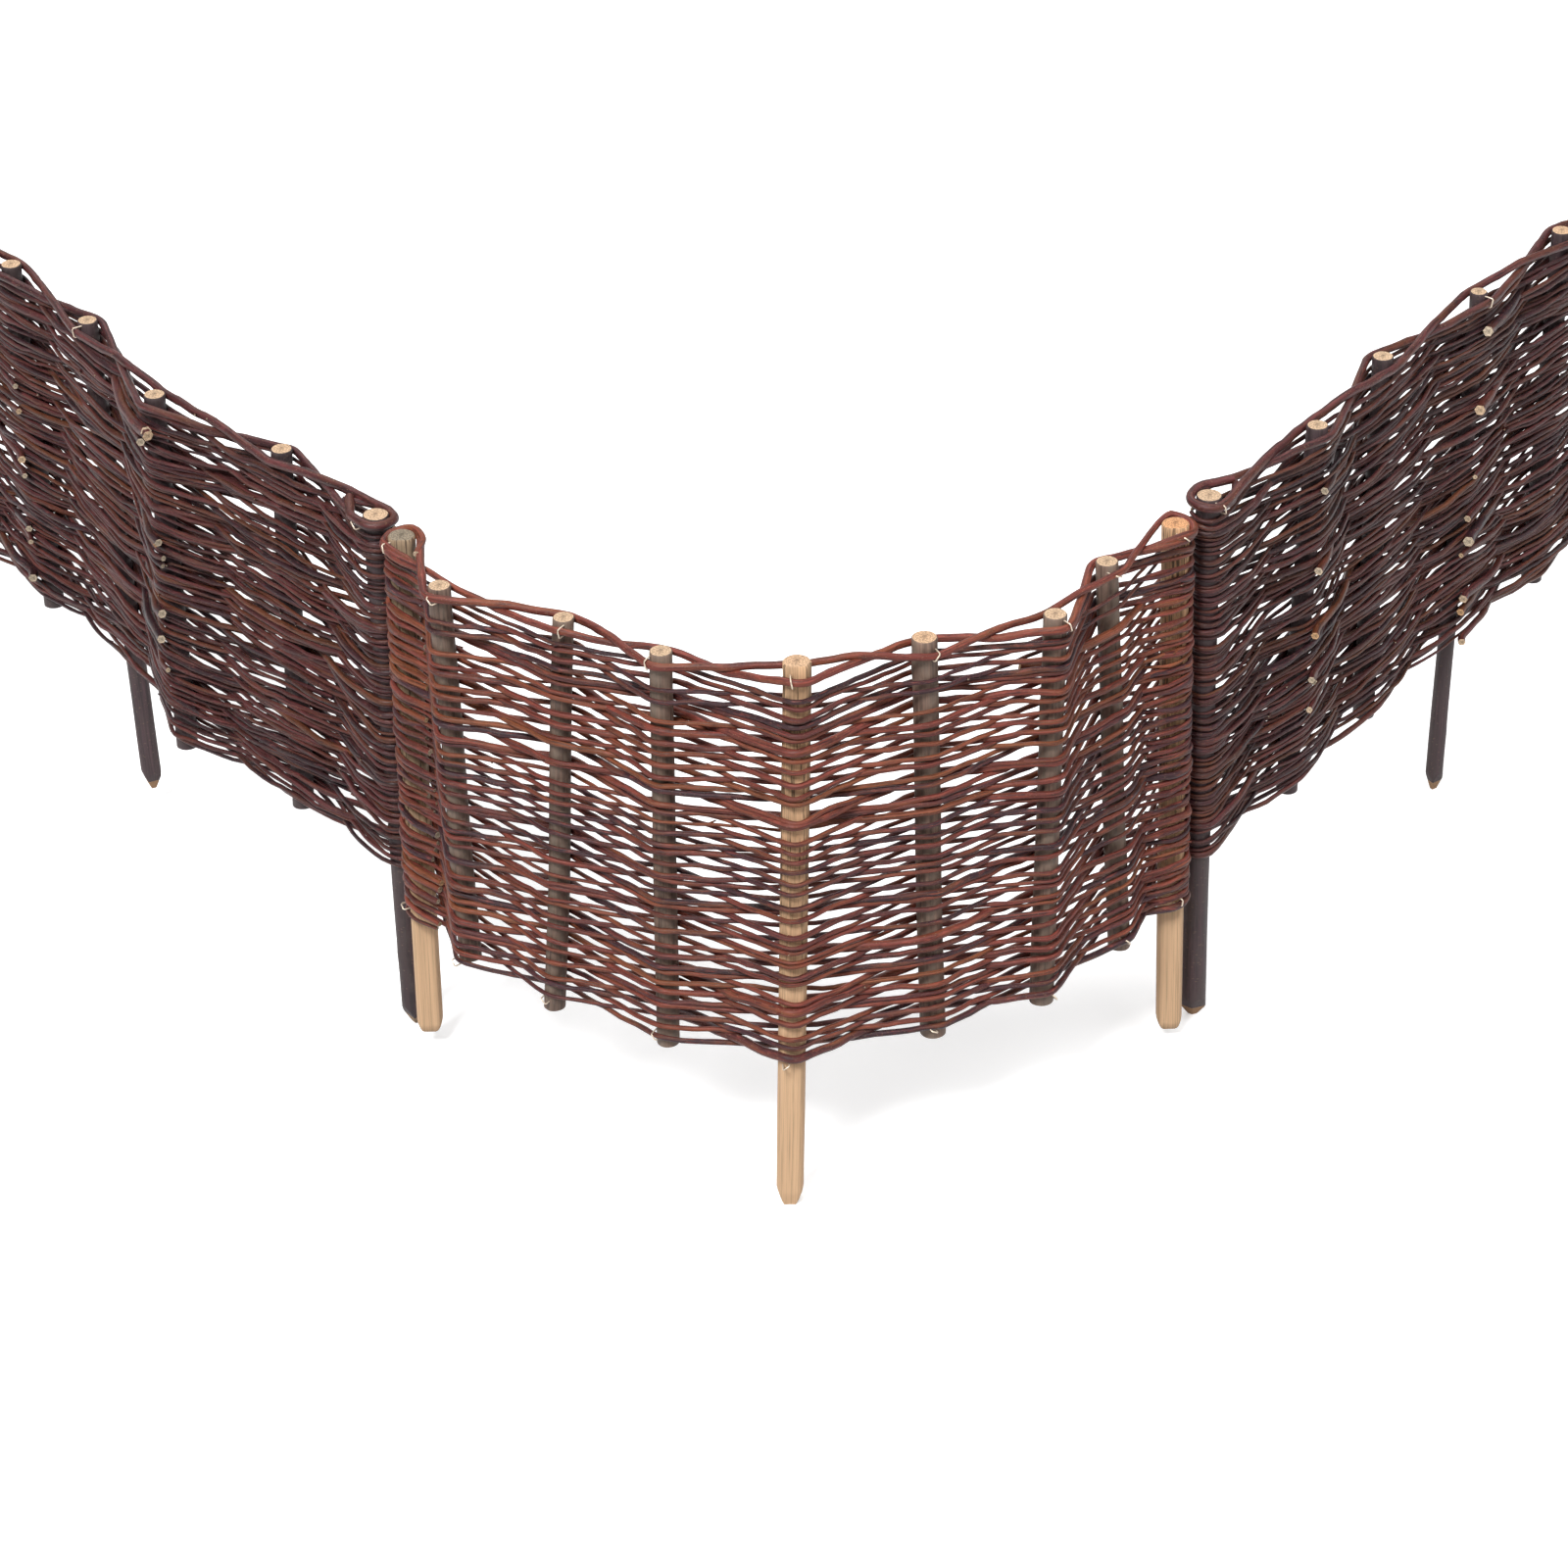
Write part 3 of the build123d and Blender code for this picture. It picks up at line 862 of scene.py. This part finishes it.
def willow_bark(name, base, plum, amber, gloss=0.4):
    """Thin bark of a willow rod: its own tone, long wrinkles, pale lenticels, and lighter amber patches laid
    at random as painted highlights.
    """
    bark = Nodes(name)
    streaks = bark.grain(9.0, 2.2, 4.0, 0.6)
    # Mask of the painted highlights: lighter patches along the rod.
    painted_highlight_patches = bark.grain(14.0, 0.4, 3.0, 0.6)
    tones = [(0.0, rgba(plum, 0.7)), (0.22, rgba(plum)), (0.45, rgba(base)), (0.72, rgba(base, 1.25)),
             (1.0, rgba(amber))]
    colour = bark.ramp(bark.tone(), tones)
    colour = bark.shade(colour, bark.ramp(streaks, [(0.38, 0.4), (0.62, 1.45)]))
    # Painted highlights: patches of lighter amber laid at random along the rod.
    colour = bark.blend(bark.ramp(painted_highlight_patches, [(0.48, 0.0), (0.68, 0.6)]), colour, rgba(amber, 1.2))
    flecks = bark.grain(75.0, 1.5, 3.0, 0.6)
    colour = bark.blend(bark.ramp(flecks, [(0.56, 0.0), (0.68, 0.55)]), colour, rgba(base, 2.6))
    colour = bark.blend(bark.ramp(flecks, [(0.33, 0.65), (0.44, 0.0)]), colour, rgba(plum, 0.4))
    spots = bark.specks(210.0, 2.6, 0.10, 0.2)
    colour = bark.blend(bark.maths("MULTIPLY", spots, 0.5), colour, (0.42, 0.25, 0.13, 1))
    bark.link(colour, bark.shader.inputs["Base Color"])
    shine = bark.ramp(streaks, [(0.2, gloss - 0.06), (0.8, gloss + 0.18)])
    bark.link(shine, bark.shader.inputs["Roughness"])
    bark.shader.inputs["Specular IOR Level"].default_value = 0.36
    wrinkles = bark.grain(28.0, 3.4, 4.0, 0.65)
    grit = bark.grain(320.0, 2.4, 3.0, 0.6)
    rough = bark.maths("ADD", wrinkles, bark.maths("MULTIPLY", spots, 0.35))
    bark.bump(bark.maths("ADD", rough, bark.maths("MULTIPLY", grit, 0.6)), 0.75, 0.6 * MM)
    return bark.material


def stake_bark(name, base, light):
    """Thicker bark of a stake: fissures along it, grey-green film, horizontal lenticels."""
    bark = Nodes(name)
    fissures = bark.grain(10.0, 3.0, 5.0, 0.65)
    film = bark.grain(22.0, 0.8, 4.0, 0.6)
    colour = bark.ramp(bark.tone(), [(0.0, rgba(base, 0.7)), (0.5, rgba(base)), (1.0, rgba(base, 1.7))])
    colour = bark.shade(colour, bark.ramp(fissures, [(0.36, 0.45), (0.64, 1.5)]))
    colour = bark.blend(bark.ramp(film, [(0.44, 0.0), (0.62, 0.75)]), colour, light)
    spots = bark.specks(260.0, 2.0, 0.12, 0.24)
    colour = bark.blend(bark.maths("MULTIPLY", spots, 0.14), colour, (0.4, 0.27, 0.16, 1))
    bark.link(colour, bark.shader.inputs["Base Color"])
    bark.link(bark.ramp(fissures, [(0.2, 0.5), (0.8, 0.75)]), bark.shader.inputs["Roughness"])
    bark.bump(bark.grain(34.0, 5.0, 5.0, 0.7), 0.6, 0.9 * MM)
    return bark.material


def end_grain(name, colour, grey):
    """A cut end: year rings round the pith, and grime in the pores."""
    wood = Nodes(name)
    uv = wood.add("ShaderNodeUVMap", uv_map="along").outputs[0]
    orange = (min(colour[0] * 1.1, 1), colour[1] * 0.78, colour[2] * 0.55, 1)
    face = wood.ramp(wood.tone(), [(0.0, grey), (0.3, rgba(colour, 0.95)), (0.5, rgba(colour)), (1.0, orange)])
    length = wood.add("ShaderNodeVectorMath", operation="LENGTH")
    wood.link(uv, length.inputs[0])
    wobble = wood.maths("MULTIPLY", wood.noise(uv, 240.0, 2.0), 0.0022)
    place = wood.maths("ADD", length.outputs["Value"], wobble)
    rings = wood.maths("SINE", wood.maths("MULTIPLY", place, 3400.0))
    face = wood.shade(face, wood.ramp(wood.maths("MULTIPLY_ADD", rings, 0.5), [(0.0, 0.78), (1.0, 1.06)]))
    grime = wood.noise(uv, 420.0, 5.0, 0.7)
    face = wood.shade(face, wood.ramp(grime, [(0.40, 0.5), (0.58, 1.05)]))
    face = wood.shade(face, wood.ramp(length.outputs["Value"], [(0.0006, 0.45), (0.0014, 1.0)]))
    wood.link(face, wood.shader.inputs["Base Color"])
    wood.shader.inputs["Roughness"].default_value = 0.82
    wood.bump(grime, 0.7, 0.6 * MM)
    return wood.material


def cleft_wood(name, colour, grey):
    """Split wood: long fibres, darker medullary streaks, weathering by patches."""
    wood = Nodes(name)
    fibres = wood.grain(7.0, 7.0, 5.0, 0.65)
    streaks = wood.grain(3.0, 2.2, 3.0, 0.6)
    orange = (colour[0] * 1.05, colour[1] * 0.85, colour[2] * 0.7, 1)
    face = wood.ramp(wood.tone(), [(0.0, grey), (0.5, rgba(colour)), (1.0, orange)])
    checks = wood.grain(16.0, 4.5, 3.0, 0.6)
    face = wood.shade(face, wood.ramp(fibres, [(0.38, 0.72), (0.46, 0.96), (0.6, 1.07)]))
    worn = wood.shade(face, wood.ramp(checks, [(0.38, 0.25), (0.46, 1.0)]))
    worn = wood.blend(wood.ramp(streaks, [(0.5, 0.0), (0.62, 0.6)]), worn, rgba(colour, 0.4))
    weathered = wood.ramp(wood.tone(), [(0.3, 1.0), (0.48, 0.0), (0.52, 0.0), (0.62, 1.0)])
    wood.link(wood.blend(weathered, face, worn), wood.shader.inputs["Base Color"])
    wood.link(wood.ramp(fibres, [(0.2, 0.72), (0.8, 0.58)]), wood.shader.inputs["Roughness"])
    wood.bump(fibres, 0.75, 0.9 * MM)
    return wood.material


def bright_wire(name, colour):
    """Staple wire, drawn and slightly tarnished."""
    wire = Nodes(name)
    tarnish = wire.grain(160.0, 0.6)
    shade = wire.ramp(tarnish, [(0.35, rgba(colour, 0.75)), (0.7, rgba(colour))])
    wire.link(shade, wire.shader.inputs["Base Color"])
    wire.shader.inputs["Metallic"].default_value = 0.5
    wire.link(wire.ramp(tarnish, [(0.3, 0.26), (0.8, 0.45)]), wire.shader.inputs["Roughness"])
    return wire.material


MATERIALS = {}


def material(key):
    """Each material is built once, from the colours in the panel."""
    if key in MATERIALS:
        return MATERIALS[key]
    c = bpy.context.scene.edging_colours
    made = {
        "middle_bark": lambda: willow_bark("middle_willow_bark", c.middle_bark, c.plum_bark, c.amber_bark),
        "side_bark": lambda: willow_bark(
            "side_willow_bark", c.side_bark, rgba(c.plum_bark, 0.7), rgba(c.amber_bark, 0.55), 0.34),
        # The rod ends' colour holds painted light: it is paler than cut willow is.
        "cut": lambda: end_grain("cut_rod_ends", c.rod_ends_painted_light, rgba(c.rod_ends_painted_light, 0.8)),
        "sawn": lambda: end_grain("sawn_stake_ends", c.cut_wood, (0.30, 0.24, 0.17, 1)),
        "short_bark": lambda: stake_bark("middle_stake_bark", c.stake_bark, (0.23, 0.175, 0.135, 1)),
        "dark_bark": lambda: stake_bark("side_stake_bark", c.dark_bark, (0.065, 0.045, 0.044, 1)),
        "cleft": lambda: cleft_wood("cleft_stake_wood", c.split_wood, (0.24, 0.19, 0.13, 1)),
        "wire": lambda: bright_wire("staple_wire_metal", c.wire),
    }
    MATERIALS[key] = made[key]()
    return MATERIALS[key]


# Pieces and their operators

def rod_piece(growth, name, panel, replaced):
    """Makes a piece of willow rods, in the bark of its panel."""
    kind = "middle" if panel == "middle" else "side"
    growth.piece(name, [material(f"{kind}_bark"), material("cut")], f"{kind}_rods", [replaced])


class EDGING_OT_weave(bpy.types.Operator):
    """Weave the wall of one panel from single willow rods."""
    bl_idname = "edging.weave"
    bl_label = "Weave a Panel"
    panel: StringProperty(name="Panel", description="left, middle or right", default="middle")

    def execute(self, context):
        name = self.panel
        wall, growth = Wall(name), Growth()
        weave = Weave(context.scene.edging_sizes, name == "middle")
        lay_wall(growth, wall, weave, BUTTS[name], SEEDS[name])
        rod_piece(growth, f"{name}_willow_rods", name, f"{name}_weave")
        return {"FINISHED"}


class EDGING_OT_top_rods(bpy.types.Operator):
    """Lay the two thick rods that close each weave."""
    bl_idname = "edging.top_rods"
    bl_label = "Lay the Top Rods"

    def execute(self, context):
        for name in STAKES:
            for layer, which in enumerate(("lower", "upper")):
                growth = Growth()
                top_rod(growth, Wall(name), context.scene.edging_sizes, layer, SEEDS[name])
                rod_piece(growth, f"{name}_{which}_top_willow", name, f"{name}_{which}_top_rod")
        return {"FINISHED"}


class EDGING_OT_stakes(bpy.types.Operator):
    """Set the driven and short stakes with their bark, sawn tops and feet."""
    bl_idname = "edging.stakes"
    bl_label = "Set the Stakes"

    def execute(self, context):
        rng = random.Random(STAKE_SEED)
        for name, keys in STAKES.items():
            middle = name == "middle"
            for key in keys:
                node = stake_node(name, key)
                short = key.startswith("short")
                growth = Growth()
                if middle and not short:
                    split_stake(growth, node, SPLIT_TONES[key], rng, key != "centre")
                    skin, slot = "cleft", "split_stakes"
                else:
                    round_stake(growth, node, rng.uniform(0.25, 0.8), rng, 0 if short else HEWN_POINT)
                    skin = "short_bark" if middle else "dark_bark"
                    slot = f"{'middle' if middle else 'side'}_short_stakes" if short else "bark_stakes"
                growth.piece(f"{node}_wood", [material(skin), material("sawn")], slot, [node])
        return {"FINISHED"}


class EDGING_OT_staples(bpy.types.Operator):
    """Drive the wire staples that hold the top and the lowest rods to the stakes."""
    bl_idname = "edging.staples"
    bl_label = "Drive the Staples"

    def execute(self, context):
        sizes = context.scene.edging_sizes
        rng = random.Random(STAPLE_SEED)
        for name in STAKES:
            wall, growth = Wall(name), Growth()
            middle = name == "middle"
            top_radius = sizes.top_rod_radius if middle else sizes.side_top_rod_radius
            for index in range(wall.last + 1):
                out = wall.facing(index, wall.outside)
                held = ((wall.crest_at(index), top_radius), (wall.bottom + LOW_STAPLE, sizes.butt_radius))
                for z, radius in held:
                    if not middle and (rng.random() < UNSTAPLED or z < SIDE_STAPLES_FROM):
                        continue
                    spot = step(wall.centre(index, z), wall.radii[index] + 2 * radius + 0.3 * MM, out)
                    spot = step(spot, rng.choice((-1, 1)) * rng.uniform(2, 7) * MM, out + math.pi / 2)
                    span, depth = 2 * radius + 1 * MM, 2 * radius + 4 * MM
                    staple(growth, (*spot, z), out, span, depth, rng.uniform(-1.1, 1.1), sizes.staple_radius)
            growth.piece(f"{name}_staples", [material("wire")] * 2, "staple_wire", [])
        return {"FINISHED"}


class EDGING_OT_stage(bpy.types.Operator):
    """Lay the pale floor and set the soft lights and the camera at the photograph's angle."""
    bl_idname = "edging.stage"
    bl_label = "Set the Stage"

    def execute(self, context):
        scene = context.scene
        half = 9.0
        corners = [(-half, -half, 0), (half, -half, 0), (half, half, 0), (-half, half, 0)]
        floor_mesh = bpy.data.meshes.new("floor")
        floor_mesh.from_pydata(corners, [], [(0, 1, 2, 3)])
        floor = bpy.data.objects.new("floor", floor_mesh)
        scene.collection.objects.link(floor)
        paper = Nodes("floor_paper")
        look = paper.shader.inputs
        look["Roughness"].default_value = 0.9
        look["Specular IOR Level"].default_value = 0.1
        path = paper.add("ShaderNodeLightPath").outputs
        seen = paper.maths("MAXIMUM", path["Is Camera Ray"], path["Is Glossy Ray"])
        seen = paper.maths("MAXIMUM", seen, path["Is Transmission Ray"])
        paper.link(paper.blend(seen, (0.25, 0.24, 0.24, 1), (0.96, 0.96, 0.96, 1)), look["Base Color"])
        look["Emission Color"].default_value = (1, 1, 1, 1)
        paper.link(paper.maths("MULTIPLY", path["Is Camera Ray"], 0.3), look["Emission Strength"])
        floor_mesh.materials.append(paper.material)

        world = bpy.data.worlds.new("studio")
        world.use_nodes = True
        sky = world.node_tree.nodes["Background"].inputs
        sky["Color"].default_value = (1, 1, 1, 1)
        sky["Strength"].default_value = 0.33
        scene.world = world

        # name, place, strength and the angle over which the light spreads, in degrees
        suns = (("key_light", (-0.9, -1.7, 2.6), 3.0, 18), ("fill_light", (1.6, -0.6, 2.0), 0.9, 50),
                ("back_light", (-0.3, 1.6, 2.2), 1.0, 50))
        for label, place, strength, spread in suns:
            sun = bpy.data.lights.new(label, "SUN")
            sun.energy, sun.angle = strength, math.radians(spread)
            light = bpy.data.objects.new(label, sun)
            light.location = place
            light.rotation_euler = (-Vector(place)).to_track_quat("-Z", "Y").to_euler()
            scene.collection.objects.link(light)

        yaw, pitch, roll = (math.radians(turn) for turn in (YAW, PITCH, ROLL))
        right = Vector((math.cos(yaw), math.sin(yaw), 0))
        level = Vector((-math.sin(yaw), math.cos(yaw), 0))
        ahead = level * math.cos(pitch) - Vector((0, 0, 1)) * math.sin(pitch)
        down = -level * math.sin(pitch) - Vector((0, 0, 1)) * math.cos(pitch)
        image_x = right * math.cos(roll) - down * math.sin(roll)
        image_y = right * math.sin(roll) + down * math.cos(roll)
        columns = (image_x, -image_y, -ahead, Vector(CAMERA_PLACE))
        lens = bpy.data.cameras.new("camera")
        lens.sensor_width, lens.lens = SENSOR, PHOTO_LENS / PHOTO_PIXELS * SENSOR
        lens.clip_end = 50
        camera = bpy.data.objects.new("camera", lens)
        scene.collection.objects.link(camera)
        rows = [[column[row] for column in columns] for row in range(3)]
        camera.matrix_world = Matrix(rows + [[0, 0, 0, 1]])
        scene.camera = camera
        scene.view_settings.view_transform = "Standard"
        return {"FINISHED"}


class EDGING_PT_panel(bpy.types.Panel):
    """Sizes, colours and operators of the willow edging."""
    bl_label = "Willow Edging"
    bl_idname = "EDGING_PT_panel"
    bl_space_type = "VIEW_3D"
    bl_region_type = "UI"
    bl_category = "Edging"

    def draw(self, context):
        column = self.layout.column()
        for group in (context.scene.edging_sizes, context.scene.edging_colours):
            for key in group.bl_rna.properties.keys():
                if key not in ("rna_type", "name"):
                    column.prop(group, key)
        for operator in ("weave", "top_rods", "stakes", "staples", "stage"):
            column.operator(f"edging.{operator}")


CLASSES = (EdgingSizes, EdgingColours, EDGING_OT_weave, EDGING_OT_top_rods, EDGING_OT_stakes,
           EDGING_OT_staples, EDGING_OT_stage, EDGING_PT_panel)


def register():
    for cls in CLASSES:
        bpy.utils.register_class(cls)
    bpy.types.Scene.edging_sizes = PointerProperty(type=EdgingSizes)
    bpy.types.Scene.edging_colours = PointerProperty(type=EdgingColours)


def unregister():
    del bpy.types.Scene.edging_colours
    del bpy.types.Scene.edging_sizes
    for cls in reversed(CLASSES):
        bpy.utils.unregister_class(cls)


def main():
    register()
    for name in ("middle", "right", "left"):
        bpy.ops.edging.weave(panel=name)
    bpy.ops.edging.top_rods()
    bpy.ops.edging.stakes()
    bpy.ops.edging.staples()
    bpy.ops.edging.stage()


if __name__ == "__main__":
    main()
